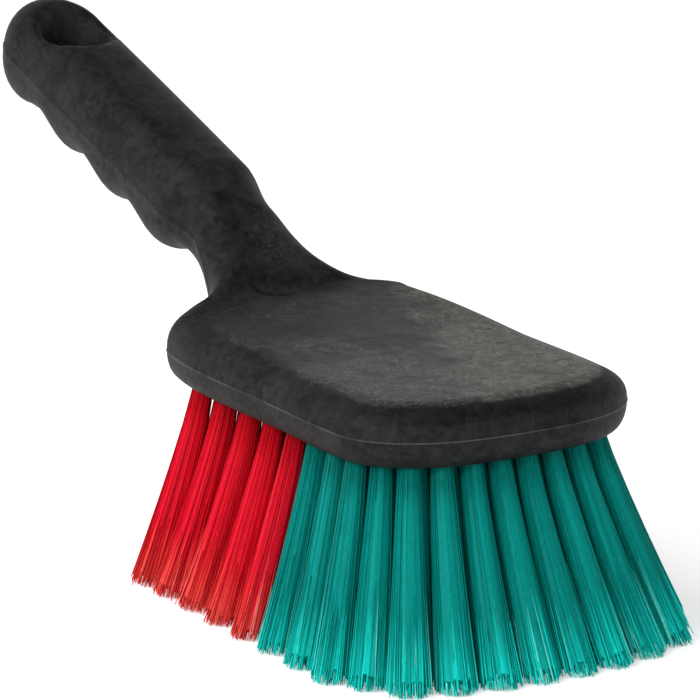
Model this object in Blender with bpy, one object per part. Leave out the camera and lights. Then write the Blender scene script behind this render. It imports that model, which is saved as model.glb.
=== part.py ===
"""A short-handled wash brush: one moulded block and handle, rows of tufts, and the anchor wire of each row.

Sizes are in metres. The pieces are drawn with +X towards the brush's front edge, +Z up, y = 0 in the middle
plane, and z = 0 at the mould parting line of the block. An empty then carries them all to the place where the
origin is at the bottom centre of the brush's bounding box.
"""

import math

import bmesh
import bpy
import numpy as np
from mathutils import Vector
from mathutils.geometry import interpolate_bezier

# The block's plan, seen from above
BLOCK_FRONT = 0.0560
BLOCK_HALF_WIDTH = 0.0433
BOW_DROP = 0.0032
BOW_INSET = 0.0177
CORNER_LENGTH = 0.0226
CORNER_INSET = 0.0003
WIDEST_X = -0.0050
SHOULDER_START = -0.0595
SHOULDER_INSET = 0.0028
SHOULDER_LENGTH = 0.0107
SHOULDER_MIDDLE_INSET = 0.0180

# The neck, the grip and the handle's end, in the same plan
SHOULDER_TO_NECK = 0.0331
NECK_HALF_WIDTH = 0.0131
NECK_TO_GRIP = 0.0178
GRIP_HALF_WIDTH = 0.0155
GRIP_LENGTH = 0.0898
END_LENGTH = 0.0161

# The block's heights above and below its parting line, its rounded edges, and the powers that shape the top one
BLOCK_RISE = 0.0085
SHOULDER_RISE = 0.0107
BLOCK_DEPTH = 0.0075
TOP_EDGE_ROUND = 0.0097
SHOULDER_ROUND = 0.0070
RIM_INSET = 0.0038
EDGE_CRISPNESS = 1.6
EDGE_FULLNESS = 0.72

# The handle climbs from the block: heights of its parting line, and its section above and below that line
CLIMB_START = 0.0055
CLIMB_MIDDLE = 0.0148
NECK_MIDDLE_LIFT = 0.0052
NECK_MIDDLE_RISE = 0.0134
NECK_LIFT = 0.0196
NECK_RISE = 0.0108
NECK_DEPTH = 0.0104
GRIP_LIFT = 0.0256
GRIP_SLOPE = math.radians(17.4)
GRIP_RISE = 0.0140
GRIP_DEPTH = 0.0150
SECTION_FULLNESS = 0.86
ROUNDED_SHARE = 0.88

# Finger grooves across the underside of the grip, the first one's middle this far ahead of the grip's start
GROOVE_LEAD = 0.0064
GROOVE_COUNT = 4
GROOVE_PITCH = 0.0268
GROOVE_DEPTH = 0.0038

# The hanging hole through the handle's end: an oval funnel from each side, square to the grip's slope
HOLE_INSET = 0.0246
HOLE_LENGTH = 0.0262
HOLE_WIDTH = 0.0250
HOLE_WAIST = 0.55
HOLE_THROAT = 0.35
HOLE_CLEARANCE = 1.6
HOLE_SIDES = 20

# The tufts: rows run across the brush, bowed like its front edge, and lie closer together towards the front
ROW_COUNT = 17
RED_ROWS = 9
FIRST_ROW_INSET = 0.0113
ROW_CROWDING = 0.15
ROW_BOW = 0.0088
ROW_BOW_POWER = 2.6
TUFT_PITCH = 0.0080
RING_INSET = 0.0038
RING_SLACK = 0.0010
BRISTLE_LENGTH = 0.0535

# How far a tuft's tip lies outside its root, at the ends and the middle of the field and at its sides
FRONT_LEAN = 0.0250
MIDDLE_LEAN = 0.0022
BACK_LEAN = -0.0016
SIDE_LEAN = 0.0167

# The strands that a tuft is drawn with
STRANDS_PER_TUFT = 3
STRAND_SIDES = 3
ROOT_SPREAD = 0.00100
ROOT_RADIUS = 0.00088
TIP_SPREAD = 0.00235
TIP_RADIUS = 0.00140
ROOT_SINK = 0.0008

# The slices that carry the strands lie in a recess of the block, with the anchor wires in grooves above them
RECESS_INSET = 0.0075
RECESS_MARGIN = 0.0006
SLICE_THICKNESS = 0.0030
WIRE_HEIGHT = 0.0020
WIRE_THICKNESS = 0.0006
WIRE_OVERHANG = 0.0020
GAP = 0.0003

# How finely curves are drawn
OUTLINE_STEPS = 6
ROUND_STEPS = 4
ROW_STEPS = 14
REACH_STEPS = 72
OUTER_ROWS = 4
INSET_STEP = 0.0002

# How far cutters reach past what they cut, and how close two corners are before they count as one
CUT_CLEARANCE = 0.0020
MERGE_DISTANCE = 1e-6

BLACK = (0.030, 0.030, 0.031, 1.0)
RED = (0.600, 0.010, 0.022, 1.0)
GREEN = (0.004, 0.270, 0.205, 1.0)
STEEL = (0.550, 0.550, 0.560, 1.0)

# What follows from the sizes above
BOW_HALF_WIDTH = BLOCK_HALF_WIDTH - BOW_INSET
CORNER_BACK = BLOCK_FRONT - CORNER_LENGTH
CORNER_HALF_WIDTH = BLOCK_HALF_WIDTH - CORNER_INSET
SHOULDER_HALF_WIDTH = BLOCK_HALF_WIDTH - SHOULDER_INSET
SHOULDER_MIDDLE = SHOULDER_START - SHOULDER_LENGTH
SHOULDER_MIDDLE_HALF_WIDTH = BLOCK_HALF_WIDTH - SHOULDER_MIDDLE_INSET
NECK_START = SHOULDER_START - CLIMB_START
NECK_MIDDLE = SHOULDER_START - CLIMB_MIDDLE
NECK_X = SHOULDER_START - SHOULDER_TO_NECK
GRIP_START = NECK_X - NECK_TO_GRIP
GRIP_BACK = GRIP_START - GRIP_LENGTH
HANDLE_END = GRIP_BACK - END_LENGTH
END_RADIUS = GRIP_HALF_WIDTH**2 / END_LENGTH
HOLE_X = HANDLE_END + HOLE_INSET
FIRST_ROW = SHOULDER_START + FIRST_ROW_INSET
RECESS_BACK = SHOULDER_START + RECESS_INSET
UNDERSIDE = -BLOCK_DEPTH
SLICE_TOP = UNDERSIDE + SLICE_THICKNESS
RECESS_TOP = SLICE_TOP + GAP
LAST_ROW = BLOCK_FRONT - RIM_INSET - RING_INSET
FIELD_MIDDLE = (FIRST_ROW + LAST_ROW) / 2
FIELD_HALF_LENGTH = FIELD_MIDDLE - FIRST_ROW
FIELD_HALF_WIDTH = BLOCK_HALF_WIDTH - RIM_INSET - RING_INSET


def clear_scene():
    for obj in list(bpy.data.objects):
        bpy.data.objects.remove(obj, do_unlink=True)


def material(name, colour, roughness, metallic=0.0):
    made = bpy.data.materials.new(name)
    made.use_nodes = True
    shader = made.node_tree.nodes["Principled BSDF"]
    shader.inputs["Base Color"].default_value = colour
    shader.inputs["Roughness"].default_value = roughness
    shader.inputs["Metallic"].default_value = metallic
    return made


def new_object(name, points, faces, parent, surface=None):
    """A mesh object whose doubled points are merged and whose faces point outwards."""
    mesh = bpy.data.meshes.new(name)
    mesh.from_pydata([tuple(p) for p in points], [], faces)
    shape = bmesh.new()
    shape.from_mesh(mesh)
    bmesh.ops.remove_doubles(shape, verts=shape.verts, dist=MERGE_DISTANCE)
    bmesh.ops.recalc_face_normals(shape, faces=shape.faces)
    shape.to_mesh(mesh)
    shape.free()
    if surface:
        mesh.materials.append(surface)
    obj = bpy.data.objects.new(name, mesh)
    obj.parent = parent
    bpy.context.scene.collection.objects.link(obj)
    return obj


def use_boolean(obj, helper, operation):
    """Joins obj with a helper shape, or cuts it, and leaves the helper in the scene as a hidden wire shape."""
    boolean = obj.modifiers.new(helper.name, "BOOLEAN")
    boolean.operation = operation
    boolean.object = helper
    helper.hide_render = True
    helper.display_type = "WIRE"


def faired(x, *stations):
    """A smooth curve through (x, value) stations in rising x, which never overshoots, level past its ends."""
    xs, values = np.array(stations).T
    x = min(max(x, xs[0]), xs[-1])
    secants = np.diff(values) / np.diff(xs)
    slopes = np.concatenate([secants[:1], np.zeros(len(xs) - 2), secants[-1:]])
    for k in range(1, len(xs) - 1):
        if secants[k - 1] * secants[k] > 0:
            slopes[k] = 2 * secants[k - 1] * secants[k] / (secants[k - 1] + secants[k])
    i = min(int(np.searchsorted(xs, x, side="right")) - 1, len(xs) - 2)
    span = xs[i + 1] - xs[i]
    t = (x - xs[i]) / span
    rise = values[i + 1] - values[i]
    start, end = slopes[i] * span, slopes[i + 1] * span
    return values[i] + start * t + (3 * rise - 2 * start - end) * t**2 + (start + end - 2 * rise) * t**3


def turning_curve(start, leave, end, arrive, steps):
    """Points from start up to, not including, end, on a cubic that turns evenly between two headings."""
    start, end = Vector((*start, 0)), Vector((*end, 0))
    leave, arrive = math.radians(leave), math.radians(arrive)
    reach = (end - start).length / (3 * math.cos((arrive - leave) / 4) ** 2)
    first = start + reach * Vector((math.cos(leave), math.sin(leave), 0))
    second = end - reach * Vector((math.cos(arrive), math.sin(arrive), 0))
    return [(p.x, p.y) for p in interpolate_bezier(start, first, second, end, steps + 1)[:-1]]


def half_plan():
    """The outline's half at +Y, from the middle of the front edge to the handle's end. Heading 90 is +Y."""
    knots = (
        ((BLOCK_FRONT, 0.0), 90, 1.0),
        ((BLOCK_FRONT - BOW_DROP, BOW_HALF_WIDTH), 110, 1.2),
        ((CORNER_BACK, CORNER_HALF_WIDTH), 176, 1.0),
        ((WIDEST_X, BLOCK_HALF_WIDTH), 180, 1.0),
        ((SHOULDER_START, SHOULDER_HALF_WIDTH), 195, 1.3),
        ((SHOULDER_MIDDLE, SHOULDER_MIDDLE_HALF_WIDTH), 251, 1.3),
        ((NECK_X, NECK_HALF_WIDTH), 192, 0.7),
        ((GRIP_START, GRIP_HALF_WIDTH), 180, 3.4),
        ((GRIP_BACK, GRIP_HALF_WIDTH), 181, 1.2),
        ((HANDLE_END, 0.0), 270, 0.0),
    )
    points = []
    for (start, leave, density), (end, arrive, _) in zip(knots, knots[1:]):
        points += turning_curve(start, leave, end, arrive, round(OUTLINE_STEPS * density))
    return np.array([*points, knots[-1][0]])


def inward_normals(plan):
    tangent = np.gradient(plan, axis=0)
    tangent /= np.linalg.norm(tangent, axis=1)[:, None]
    normals = np.column_stack([-tangent[:, 1], tangent[:, 0]])
    normals[0] = (-1.0, 0.0)
    normals[-1] = (1.0, 0.0)
    return normals


def groove_lift(x):
    """How far the finger grooves raise the underside of the grip at x."""
    lift = 0.0
    for k in range(GROOVE_COUNT):
        away = abs(x - (GRIP_START + GROOVE_LEAD - k * GROOVE_PITCH)) / GROOVE_PITCH
        if away < 0.5:
            lift += GROOVE_DEPTH * math.cos(math.pi * away) ** 2
    return lift


def parting_lift(x):
    """The height of the parting line at x, as it climbs from the block to the handle's end."""
    end_lift = GRIP_LIFT + math.tan(GRIP_SLOPE) * (GRIP_START - HANDLE_END)
    handle = ((HANDLE_END, end_lift), (GRIP_START, GRIP_LIFT), (NECK_X, NECK_LIFT))
    return faired(x, *handle, (NECK_MIDDLE, NECK_MIDDLE_LIFT), (NECK_START, 0.0))


def section(x):
    """How far the body reaches above and below its parting line at x."""
    handle_rise = ((GRIP_START, GRIP_RISE), (NECK_X, NECK_RISE), (NECK_MIDDLE, NECK_MIDDLE_RISE))
    rise = faired(x, *handle_rise, (SHOULDER_START, SHOULDER_RISE), (WIDEST_X, BLOCK_RISE))
    depth = faired(x, (GRIP_START, GRIP_DEPTH), (NECK_X, NECK_DEPTH), (SHOULDER_START, BLOCK_DEPTH))
    return rise, depth - groove_lift(x)


def section_tilt(x):
    """How far the body's section at x leans forwards for each metre above its parting line."""
    return math.sin(GRIP_SLOPE) * faired(x, (GRIP_START, 1.0), (NECK_START, 0.0))


def top_rounds(plan, normals):
    """How far in the top edge's rounding reaches at each point of the plan. Its inner line never turns back."""
    stations = ((NECK_X, GRIP_HALF_WIDTH), (SHOULDER_MIDDLE, SHOULDER_ROUND), (SHOULDER_START, TOP_EDGE_ROUND))
    reaches, last_x = [], BLOCK_FRONT
    for point, normal in zip(plan, normals):
        reach = faired(point[0], *stations)
        if point[0] < CORNER_BACK:
            to_middle = point[1] / abs(normal[1]) if abs(normal[1]) > MERGE_DISTANCE else END_RADIUS
            reach = min(reach, ROUNDED_SHARE * to_middle)
        if normal[0] > 0:
            reach = min(reach, (last_x - INSET_STEP - point[0]) / normal[0])
        last_x = point[0] + normal[0] * reach
        reaches.append(reach)
    return reaches


def body_profile(point, normal, top_round):
    """One profile of the body at a point of the plan, from the middle of the underside to that of the top."""
    rounding = faired(point[0], (NECK_X, 1.0), (SHOULDER_START, 0.0))
    rim_round = RIM_INSET + (top_round - RIM_INSET) * rounding
    low_power = 1 + (SECTION_FULLNESS - 1) * rounding
    across_power = EDGE_CRISPNESS + (SECTION_FULLNESS - EDGE_CRISPNESS) * rounding
    up_power = EDGE_FULLNESS + (SECTION_FULLNESS - EDGE_FULLNESS) * rounding
    angles = [math.pi / 2 * k / ROUND_STEPS for k in range(ROUND_STEPS + 1)]

    def at(angle, reach, across, up, side):
        """The point where the profile has turned by this angle, on the upper or lower side."""
        x, y = point + normal * reach * (1 - math.cos(angle) ** across)
        rise, depth = section(x)
        height = (rise if side > 0 else -depth) * math.sin(angle) ** up
        return np.array([x + section_tilt(x) * height, y, parting_lift(x) + height])

    lower = [at(angle, rim_round, low_power, low_power, -1) for angle in angles[1:]]
    upper = [at(angle, top_round, across_power, up_power, 1) for angle in angles]
    return [lower[-1] * (1, 0, 1), *lower[::-1], *upper, upper[-1] * (1, 0, 1)]


def body_shell():
    """Points and faces of the whole outer skin, from the half at +Y and its mirror image."""
    plan = half_plan()
    normals = inward_normals(plan)
    profiles = [body_profile(*place) for place in zip(plan, normals, top_rounds(plan, normals))]
    width = len(profiles[0])
    points = [p for profile in profiles for p in profile]
    faces = []
    for i in range(len(profiles) - 1):
        for k in range(width - 1):
            a = i * width + k
            faces.append((a, a + 1, a + width + 1, a + width))
    count = len(points)
    points += [p * (1, -1, 1) for p in points]
    faces += [tuple(count + v for v in reversed(face)) for face in faces]
    return points, faces


def prism(outline, low, high):
    """Points and faces of an upright prism over a closed outline."""
    count = len(outline)
    points = [(x, y, z) for z in (low, high) for x, y in outline]
    faces = [tuple(range(count))[::-1], tuple(range(count, 2 * count))]
    faces += [(k, (k + 1) % count, (k + 1) % count + count, k + count) for k in range(count)]
    return points, faces


def recess_outline(margin):
    """The closed outline of the recess, or of what fills it, this far inside the rim of the underside."""
    plan = half_plan()
    inner = plan + inward_normals(plan) * (RIM_INSET + margin)
    back = RECESS_BACK + margin - RECESS_MARGIN
    side = inner[inner[:, 0] > back]
    following = inner[len(side)]
    share = (side[-1][0] - back) / (side[-1][0] - following[0])
    side = np.vstack([side, side[-1] + (following - side[-1]) * share])
    return [*side, *(side[:0:-1] * (1, -1))]


def row_x(row, y):
    """The x of a row's middle line at y. Half rows give the lines between two rows."""
    share = row / (ROW_COUNT - 1)
    straight = FIRST_ROW + (LAST_ROW - FIRST_ROW) * share * (1 + ROW_CROWDING * (1 - share))
    return straight - ROW_BOW * share**2 * abs(y / FIELD_HALF_WIDTH) ** ROW_BOW_POWER


def row_reach(row):
    """The largest y at which a row's middle line is still inside the ring of the outermost tufts."""
    ring = np.array(recess_outline(RING_INSET - RING_SLACK))
    ring = ring[ring[:, 1] >= 0][::-1]
    ys = np.linspace(0.0, FIELD_HALF_WIDTH, REACH_STEPS)
    inside = [y for y in ys if y <= np.interp(row_x(row, y), ring[:, 0], ring[:, 1])]
    return max(inside)


def tuft_ys(row):
    """Where the tufts of a row stand. Every other row is shifted by half a pitch, so that the tufts are staggered."""
    reach = row_reach(row)
    start = TUFT_PITCH / 2 if row % 2 == 0 else 0.0
    count = 1 + int((reach + TUFT_PITCH / 4 - start) / TUFT_PITCH)
    side = [min(start + TUFT_PITCH * k, reach) for k in range(count)]
    return [-y for y in side[::-1] if y > 0] + side


def lean(x, y):
    """How far a tuft that is rooted at (x, y) reaches out on its way to its tip."""
    along = (x - FIELD_MIDDLE) / FIELD_HALF_LENGTH
    half_sum, half_difference = (FRONT_LEAN + BACK_LEAN) / 2, (FRONT_LEAN - BACK_LEAN) / 2
    forward = MIDDLE_LEAN + half_difference * along + (half_sum - MIDDLE_LEAN) * along**2
    return np.array([forward, SIDE_LEAN * y / FIELD_HALF_WIDTH])


def strand_points(root, turn, offset_turn):
    """The two end triangles of one strand, sunk a little into its slice above and cut level below."""
    out = np.array([math.cos(offset_turn), math.sin(offset_turn)])
    root_end = (root + out * ROOT_SPREAD, ROOT_RADIUS, UNDERSIDE + ROOT_SINK)
    tip_end = (root + lean(*root) + out * TIP_SPREAD, TIP_RADIUS, UNDERSIDE - BRISTLE_LENGTH)
    points = []
    for centre, radius, height in (root_end, tip_end):
        for k in range(STRAND_SIDES):
            angle = turn + 2 * math.pi * k / STRAND_SIDES
            x, y = centre + radius * np.array([math.cos(angle), math.sin(angle)])
            points.append((x, y, height))
    return points


def row_strands(row):
    """Points and faces of all the strands of a row, each a closed shape of its own."""
    points, faces = [], []
    turn = 0.0 if row % 2 == 0 else math.pi
    for y in tuft_ys(row):
        for k in range(STRANDS_PER_TUFT):
            base = len(points)
            offset_turn = turn + 2 * math.pi * k / STRANDS_PER_TUFT
            points += strand_points(np.array([row_x(row, y), y]), turn, offset_turn)
            ring = range(base, base + STRAND_SIDES)
            faces += [tuple(ring)[::-1], tuple(v + STRAND_SIDES for v in ring)]
            for v in ring:
                following = base + (v - base + 1) % STRAND_SIDES
                faces.append((v, following, following + STRAND_SIDES, v + STRAND_SIDES))
    return points, faces


def bowed_strip(back_row, front_row, trim, reach):
    """A closed outline between two row lines, narrowed by trim at each, from -reach to reach."""
    ys = np.linspace(-reach, reach, ROW_STEPS + 1)
    front = [(row_x(front_row, y) - trim, y) for y in ys]
    back = [(row_x(back_row, y) + trim, y) for y in ys[::-1]]
    return front + back


def wire_outline(row, clearance):
    """The plan of a row's anchor wire, or of its groove where there is a clearance."""
    reach = max(tuft_ys(row)) + WIRE_OVERHANG + clearance
    half = WIRE_THICKNESS / 2 + clearance
    return bowed_strip(row, row, -half, reach)


def make_block(parent, surface):
    points, faces = body_shell()
    block = new_object("block_and_handle", points, faces, parent, surface)
    recess = prism(recess_outline(RECESS_MARGIN), UNDERSIDE - CUT_CLEARANCE, RECESS_TOP)
    use_boolean(block, new_object("recess_cutter", *recess, parent), "DIFFERENCE")
    groove_points, groove_faces = [], []
    for row in range(ROW_COUNT):
        base = len(groove_points)
        top = RECESS_TOP + WIRE_HEIGHT + GAP
        points, faces = prism(wire_outline(row, GAP), SLICE_TOP - CUT_CLEARANCE, top)
        groove_points += points
        groove_faces += [tuple(base + v for v in face) for face in faces]
    grooves = new_object("wire_groove_cutters", groove_points, groove_faces, parent)
    use_boolean(block, grooves, "DIFFERENCE")
    use_boolean(block, hole_cutter(parent), "DIFFERENCE")
    block.data.shade_smooth()
    return block


def hole_cutter(parent):
    """Two oval funnels that meet in the middle of the handle's thickness, drawn upright and then turned."""
    half_height = GRIP_RISE / math.cos(GRIP_SLOPE)
    points, faces = [], []
    shares = (-HOLE_CLEARANCE, -1.0, -HOLE_THROAT, HOLE_THROAT, 1.0, HOLE_CLEARANCE)
    for share in shares:
        scale = HOLE_WAIST + (1 - HOLE_WAIST) * share**2
        for k in range(HOLE_SIDES):
            angle = 2 * math.pi * k / HOLE_SIDES
            x, y = HOLE_LENGTH / 2 * math.cos(angle), HOLE_WIDTH / 2 * math.sin(angle)
            points.append((x * scale, y * scale, half_height * share))
    for i in range(len(shares) - 1):
        for k in range(HOLE_SIDES):
            a, b = i * HOLE_SIDES + k, i * HOLE_SIDES + (k + 1) % HOLE_SIDES
            faces.append((a, b, b + HOLE_SIDES, a + HOLE_SIDES))
    last = (len(shares) - 1) * HOLE_SIDES
    faces += [tuple(range(HOLE_SIDES))[::-1], tuple(range(last, last + HOLE_SIDES))]
    cutter = new_object("hanging_hole_cutter", points, faces, parent)
    cutter.location = (HOLE_X, 0.0, parting_lift(HOLE_X))
    cutter.rotation_euler = (0.0, GRIP_SLOPE, 0.0)
    return cutter


def make_tuft_row(row, parent, surface):
    """A slice of the block's underside with the strands of one row fused to it."""
    colour = "red" if row < RED_ROWS else "green"
    name = f"{colour}_tuft_row_{row + 1:02d}"
    plate = prism(recess_outline(RECESS_MARGIN + GAP), UNDERSIDE, SLICE_TOP)
    piece = new_object(name, *plate, parent, surface)
    back_row = row - 0.5 if row > 0 else -OUTER_ROWS
    front_row = row + 0.5 if row < ROW_COUNT - 1 else row + OUTER_ROWS
    outline = bowed_strip(back_row, front_row, GAP / 2, BLOCK_HALF_WIDTH)
    strip = prism(outline, UNDERSIDE - CUT_CLEARANCE, SLICE_TOP + CUT_CLEARANCE)
    use_boolean(piece, new_object(name + "_strip", *strip, parent), "INTERSECT")
    use_boolean(piece, new_object(name + "_strands", *row_strands(row), parent), "UNION")
    return piece


def make_anchor_wire(row, parent, surface):
    """The flat steel wire that stands for the anchors of one row, in its groove above the slice."""
    shape = prism(wire_outline(row, 0.0), RECESS_TOP, RECESS_TOP + WIRE_HEIGHT)
    return new_object(f"anchor_wire_row_{row + 1:02d}", *shape, parent, surface)


def middle_x():
    """The x midway between the foremost tip of a strand and the hindmost point of the handle."""
    tips = [p[0] for row in range(ROW_COUNT) for p in row_strands(row)[0]]
    body = [p[0] for p in body_shell()[0]]
    return (max(tips) + min(body)) / 2


def main():
    clear_scene()
    brush = bpy.data.objects.new("brush", None)
    bpy.context.scene.collection.objects.link(brush)
    brush.location = (-middle_x(), 0.0, BLOCK_DEPTH + BRISTLE_LENGTH)
    black = material("black_moulding", BLACK, 0.55)
    red = material("red_bristle", RED, 0.45)
    green = material("green_bristle", GREEN, 0.45)
    steel = material("anchor_steel", STEEL, 0.30, 1.0)
    make_block(brush, black)
    for row in range(ROW_COUNT):
        make_tuft_row(row, brush, red if row < RED_ROWS else green)
        make_anchor_wire(row, brush, steel)


main()
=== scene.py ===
"""The looks of a short-handled wash brush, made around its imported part.

Sizes are in metres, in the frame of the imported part: +X towards the front edge of the brush, +Z up, with the
origin at the bottom centre. The moulding is drawn from its own middle, where z = 0 is the parting line of the
block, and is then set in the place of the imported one.
"""

import math

import bmesh
import bpy
import numpy as np
from bpy.props import FloatProperty, FloatVectorProperty, IntProperty, PointerProperty
from mathutils import Matrix, Vector
from mathutils.geometry import interpolate_bezier


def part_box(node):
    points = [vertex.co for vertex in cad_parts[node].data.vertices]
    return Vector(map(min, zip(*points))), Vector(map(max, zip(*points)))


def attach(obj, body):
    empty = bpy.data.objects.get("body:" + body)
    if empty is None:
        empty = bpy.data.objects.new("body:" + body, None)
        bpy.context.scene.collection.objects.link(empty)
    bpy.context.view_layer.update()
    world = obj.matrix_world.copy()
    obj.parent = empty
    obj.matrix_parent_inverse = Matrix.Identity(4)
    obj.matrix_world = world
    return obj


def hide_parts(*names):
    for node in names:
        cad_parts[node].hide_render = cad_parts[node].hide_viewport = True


bl_info = {
    "name": "Wash brush",
    "version": (1, 0, 0),
    "blender": (4, 5, 0),
    "location": "3D View > Sidebar > Wash brush",
    "description": "Makes the moulded block and handle, the tufts and the studio of a wash brush",
    "category": "Add Mesh",
}

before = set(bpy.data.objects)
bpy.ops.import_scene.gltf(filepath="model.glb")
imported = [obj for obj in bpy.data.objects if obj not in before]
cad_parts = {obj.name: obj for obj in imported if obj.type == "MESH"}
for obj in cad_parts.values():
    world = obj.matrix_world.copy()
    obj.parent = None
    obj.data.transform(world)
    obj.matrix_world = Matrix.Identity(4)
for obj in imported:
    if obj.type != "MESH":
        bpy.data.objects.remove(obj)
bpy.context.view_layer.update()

# The block's plan, seen from above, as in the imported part
BLOCK_FRONT = 0.0560
BLOCK_HALF_WIDTH = 0.0433
BOW_DROP = 0.0032
BOW_INSET = 0.0177
CORNER_LENGTH = 0.0226
CORNER_INSET = 0.0003
WIDEST_X = -0.0050
SHOULDER_START = -0.0595
SHOULDER_INSET = 0.0028
SHOULDER_LENGTH = 0.0107
SHOULDER_MIDDLE_INSET = 0.0180

# The neck, the grip and the handle's end
SHOULDER_TO_NECK = 0.0331
NECK_HALF_WIDTH = 0.0131
NECK_TO_GRIP = 0.0178
GRIP_HALF_WIDTH = 0.0155
GRIP_LENGTH = 0.0898
END_LENGTH = 0.0161

# Heights above and below the parting line, and the rounded edges
BLOCK_RISE = 0.0085
SHOULDER_RISE = 0.0107
BLOCK_DEPTH = 0.0075
TOP_EDGE_ROUND = 0.0097
SHOULDER_ROUND = 0.0070
RIM_INSET = 0.0038
EDGE_CRISPNESS = 1.6
EDGE_FULLNESS = 0.72
CLIMB_START = 0.0055
CLIMB_MIDDLE = 0.0148
NECK_MIDDLE_LIFT = 0.0052
NECK_MIDDLE_RISE = 0.0134
NECK_LIFT = 0.0196
NECK_RISE = 0.0108
NECK_DEPTH = 0.0104
GRIP_LIFT = 0.0256
GRIP_SLOPE = math.radians(17.4)
GRIP_RISE = 0.0140
GRIP_DEPTH = 0.0150
SECTION_FULLNESS = 0.86
ROUNDED_SHARE = 0.88

# Finger grooves and hanging hole
GROOVE_COUNT = 4
GROOVE_LEAD = 0.0064
GROOVE_PITCH = 0.0268
GROOVE_DEPTH = 0.0038
HOLE_INSET = 0.0246
HOLE_LENGTH = 0.0262
HOLE_WIDTH = 0.0250
HOLE_WAIST = 0.55
HOLE_REACH = 1.6

# Rows of tufts
ROW_COUNT = 17
RED_ROWS = 9
FIRST_ROW_INSET = 0.0113
ROW_CROWDING = 0.15
ROW_BOW = 0.0088
ROW_BOW_POWER = 2.6
TUFT_PITCH = 0.0080
RING_INSET = 0.0038
RING_SLACK = 0.0010
BRISTLE_LENGTH = 0.0535
FRONT_LEAN = 0.0250
MIDDLE_LEAN = 0.0022
BACK_LEAN = -0.0016
SIDE_LEAN = 0.0167

# What follows from the sizes above
BOW_HALF_WIDTH = BLOCK_HALF_WIDTH - BOW_INSET
CORNER_BACK = BLOCK_FRONT - CORNER_LENGTH
CORNER_HALF_WIDTH = BLOCK_HALF_WIDTH - CORNER_INSET
SHOULDER_HALF_WIDTH = BLOCK_HALF_WIDTH - SHOULDER_INSET
SHOULDER_MIDDLE = SHOULDER_START - SHOULDER_LENGTH
SHOULDER_MIDDLE_HALF_WIDTH = BLOCK_HALF_WIDTH - SHOULDER_MIDDLE_INSET
NECK_START = SHOULDER_START - CLIMB_START
NECK_MIDDLE = SHOULDER_START - CLIMB_MIDDLE
NECK_X = SHOULDER_START - SHOULDER_TO_NECK
GRIP_START = NECK_X - NECK_TO_GRIP
GRIP_BACK = GRIP_START - GRIP_LENGTH
HANDLE_END = GRIP_BACK - END_LENGTH
END_RADIUS = GRIP_HALF_WIDTH**2 / END_LENGTH
HOLE_X = HANDLE_END + HOLE_INSET
FIRST_ROW = SHOULDER_START + FIRST_ROW_INSET
LAST_ROW = BLOCK_FRONT - RIM_INSET - RING_INSET
FIELD_MIDDLE = (FIRST_ROW + LAST_ROW) / 2
FIELD_HALF_LENGTH = FIELD_MIDDLE - FIRST_ROW
FIELD_HALF_WIDTH = BLOCK_HALF_WIDTH - RIM_INSET - RING_INSET

# A shallow curved dent on top of the neck: an arc of a circle, seen from above
DENT_MIDDLE = (-0.0690, -0.0020)
DENT_RADIUS = 0.0078
DENT_HALF_WIDTH = 0.0018
DENT_HEADING = math.radians(-37)
DENT_HALF_TURN = math.radians(58)
DENT_FADE = math.radians(16)
DENT_FACING = 0.3

# How finely the skin is drawn
OUTLINE_STEPS = 22
ROUND_STEPS = 11
TOP_STEPS = 20
HOLE_SIDES = 72
HOLE_RINGS = 25
INSET_STEP = 0.00005
MERGE_DISTANCE = 1e-6

# How the rim of the hanging hole is found and eased
RIM_ANGLE = math.radians(35)
LIP_PULL = 0.5
LIP_PASSES = 14

# How closely the reach of a row is sought inside the ring of the outermost tufts
RING_STEPS = 6
REACH_STEPS = 72


def part_place():
    """Where the middle of the block's parting line is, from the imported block's own box."""
    low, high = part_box("block_and_handle")
    return Vector((high.x - BLOCK_FRONT, 0.0, low.z + BLOCK_DEPTH))


PLACE = part_place()


# Settings that a user would change

COLOUR = {"subtype": "COLOR", "size": 4, "min": 0.0, "max": 1.0}
LENGTH = {"unit": "LENGTH", "subtype": "DISTANCE"}
ANGLE = {"unit": "ROTATION", "subtype": "ANGLE"}
POWER = {"unit": "POWER", "min": 0.0}


class MouldingSettings(bpy.types.PropertyGroup):
    """The moulded block and handle."""

    plastic: FloatVectorProperty(
        name="Plastic", description="Colour of the moulded plastic",
        default=(0.0080, 0.0080, 0.0082, 1.0), **COLOUR,
    )
    # Also the colour of the painted highlight on the neck; on the top its lightness is partly painted sheen
    worn: FloatVectorProperty(
        name="Worn top", description="Colour of the plastic where the top of the block is worn",
        default=(0.028, 0.028, 0.028, 1.0), **COLOUR,
    )
    # Also the colour of the painted highlight along the parting line
    scuff: FloatVectorProperty(
        name="Scuffs", description="Colour of the fine pale scuff lines",
        default=(0.110, 0.109, 0.106, 1.0), **COLOUR,
    )
    stain: FloatVectorProperty(
        name="Flow mark", description="Colour of the mottled flow mark on top of the block",
        default=(0.095, 0.090, 0.076, 1.0), **COLOUR,
    )
    seam_width: FloatProperty(
        name="Seam width", description="Width of the fine ridge along the mould's parting line",
        min=0.0001, max=0.002, default=0.0007, **LENGTH,
    )
    seam_height: FloatProperty(
        name="Seam height", description="Height of the fine ridge along the mould's parting line",
        min=0.0, max=0.001, default=0.00018, **LENGTH,
    )
    lip_round: FloatProperty(
        name="Lip rounding", description="How far around its rim the hanging hole is rounded",
        min=0.0, max=0.004, default=0.0022, **LENGTH,
    )
    dent_depth: FloatProperty(
        name="Dent depth", description="Depth of the curved dent on top of the neck",
        min=0.0, max=0.001, default=0.0005, **LENGTH,
    )


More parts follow.
